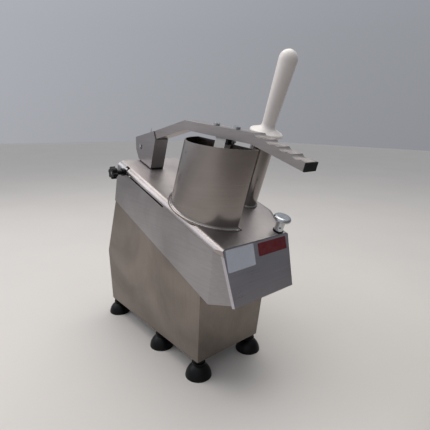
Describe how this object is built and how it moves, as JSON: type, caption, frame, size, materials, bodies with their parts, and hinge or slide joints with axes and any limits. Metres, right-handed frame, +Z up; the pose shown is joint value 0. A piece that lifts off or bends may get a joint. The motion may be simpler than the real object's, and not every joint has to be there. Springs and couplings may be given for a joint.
{
  "type": "vegetable preparation machine",
  "caption": "Electric vegetable preparation machine in stainless steel: sloping lid, half-moon hopper with lever pusher, round feed tube with pestle, suction feet.",
  "frame": {"origin": "middle of the bounding box in X and Y, on the table under the feet", "axes": "+Z up, -Y the way the discharge nose and the lever's grip point, +X the side of the round feed tube"},
  "size_m": [0.2592, 0.5822, 0.643],
  "materials": {
    "base_casing": "satin brushed stainless",
    "base_plate": "matt stainless",
    "feet": "black moulded",
    "foot_studs": "zinc plated",
    "start_stop_frame": "black moulded",
    "cable_gland": "black moulded",
    "capacitor": "light grey moulded",
    "control_box": "grey moulded",
    "hood": "satin stainless",
    "front_panel": "satin stainless",
    "deck_plate": "satin stainless",
    "chamber_wall": "satin stainless",
    "discharge_chute": "satin stainless",
    "bearing_housing": "machined casting",
    "ball_bearings": "ground steel",
    "shaft_seal": "black rubber",
    "drive_plate": "zinc plated sheet",
    "motor_housing": "cast aluminium",
    "motor_fan_cowl": "black moulded",
    "drive_belt": "ribbed black rubber",
    "hinge_nut": "domed stainless nut",
    "catch_nut": "welded stainless nut",
    "lid_switch": "black moulded",
    "lid": "satin stainless",
    "lid_rim": "satin stainless",
    "lid_hinge_lugs": "welded stainless",
    "hopper": "polished stainless",
    "feed_tube": "polished stainless",
    "lever_post": "satin stainless",
    "post_gasket": "black rubber",
    "post_screws": "stainless",
    "lever_pivot_pin": "stainless",
    "lock_washer": "black rubber",
    "hinge_rod": "polished stainless",
    "hinge_knob": "black phenolic",
    "lock_knob": "turned and polished",
    "lock_stem": "stainless",
    "lever": "cast and ground aluminium",
    "lever_end_plug": "black moulded",
    "lever_bolts": "stainless",
    "pusher_stem": "white food plastic",
    "pusher_plate": "white food plastic",
    "magnet_block": "black moulded",
    "pestle": "milky translucent food plastic",
    "drive_shaft": "ground stainless",
    "ejector_disc": "white food plastic",
    "cutting_disc": "cast and polished",
    "disc_hub": "black moulded hub",
    "disc_blades": "ground steel",
    "driven_pulley": "machined casting",
    "motor_shaft": "ground steel",
    "motor_pulley": "machined",
    "cooling_fan": "black moulded",
    "start_button": "green moulded",
    "stop_button": "red moulded"
  },
  "bodies": {
    "base": {"base_casing": "base_casing", "base_plate": "base_plate", "feet": "feet", "foot_studs": "foot_studs", "start_stop_frame": "start_stop_frame", "cable_gland": "cable_gland", "capacitor": "capacitor", "control_box": "control_box", "hood": "hood", "front_panel": "front_panel", "deck_plate": "deck_plate", "chamber_wall": "chamber_wall", "discharge_chute": "discharge_chute", "bearing_housing": "bearing_housing", "ball_bearings": "ball_bearings", "shaft_seal": "shaft_seal", "drive_plate": "drive_plate", "motor_housing": "motor_housing", "motor_fan_cowl": "motor_fan_cowl", "drive_belt": "drive_belt", "hinge_nut": "hinge_nut", "catch_nut": "catch_nut", "lid_switch": "lid_switch"},
    "lid": {"lid": "lid", "lid_rim": "lid_rim", "lid_hinge_lugs": "lid_hinge_lugs", "hopper": "hopper", "feed_tube": "feed_tube", "lever_post": "lever_post", "post_gasket": "post_gasket", "post_screws": "post_screws", "lever_pivot_pin": "lever_pivot_pin", "lock_washer": "lock_washer"},
    "hinge_knob": {"hinge_rod": "hinge_rod", "hinge_knob": "hinge_knob"},
    "lock_knob": {"lock_knob": "lock_knob", "lock_stem": "lock_stem"},
    "lever": {"lever": "lever", "lever_end_plug": "lever_end_plug", "lever_bolts": "lever_bolts", "pusher_stem": "pusher_stem", "pusher_plate": "pusher_plate", "magnet_block": "magnet_block"},
    "pestle": {"pestle": "pestle"},
    "cutter": {"drive_shaft": "drive_shaft", "ejector_disc": "ejector_disc", "cutting_disc": "cutting_disc", "disc_hub": "disc_hub", "disc_blades": "disc_blades", "driven_pulley": "driven_pulley"},
    "motor_rotor": {"motor_shaft": "motor_shaft", "motor_pulley": "motor_pulley", "cooling_fan": "cooling_fan"},
    "start_button": {"start_button": "start_button"},
    "stop_button": {"stop_button": "stop_button"}
  },
  "joints": [
    {"name": "lid_hinge", "type": "hinge", "parent": "base", "child": "lid", "pos_m": [-0.00335, 0.1635, 0.39688], "axis": [-1, 0, 0], "range_deg": [0, 50]},
    {"name": "lever_hinge", "type": "hinge", "parent": "lid", "child": "lever", "pos_m": [-0.02535, 0.18335, 0.45414], "axis": [-1, 0, 0], "range_deg": [0, 70]},
    {"name": "pestle_slide", "type": "slide", "parent": "lid", "child": "pestle", "axis": [0, -0.3173, 0.9483], "range_m": [0, 0.13]},
    {"name": "lock_knob_turn", "type": "hinge", "parent": "lid", "child": "lock_knob", "pos_m": [0.06715, -0.16021, 0.30228], "axis": [0, -0.3173, 0.9483], "continuous": true},
    {"name": "hinge_knob_turn", "type": "hinge", "parent": "base", "child": "hinge_knob", "pos_m": [-0.00335, 0.1635, 0.39688], "axis": [-1, 0, 0], "continuous": true},
    {"name": "disc_spin", "type": "hinge", "parent": "base", "child": "cutter", "pos_m": [0.01465, -0.04926, 0.33941], "axis": [0, -0.3173, 0.9483], "continuous": true},
    {"name": "motor_spin", "type": "hinge", "parent": "base", "child": "motor_rotor", "pos_m": [0.01465, 0.09299, 0.387], "axis": [0, -0.3173, 0.9483], "continuous": true},
    {"name": "start_push", "type": "slide", "parent": "base", "child": "start_button", "axis": [-0.9992, 0, 0.0395], "range_m": [0, 0.003], "stiffness_N_per_m": 300, "springref_m": -0.002},
    {"name": "stop_push", "type": "slide", "parent": "base", "child": "stop_button", "axis": [-0.9992, 0, 0.0395], "range_m": [0, 0.003], "stiffness_N_per_m": 300, "springref_m": -0.002}
  ],
  "couplings": [
    {"joint": "motor_spin", "follows": "disc_spin", "ratio": 4}
  ]
}
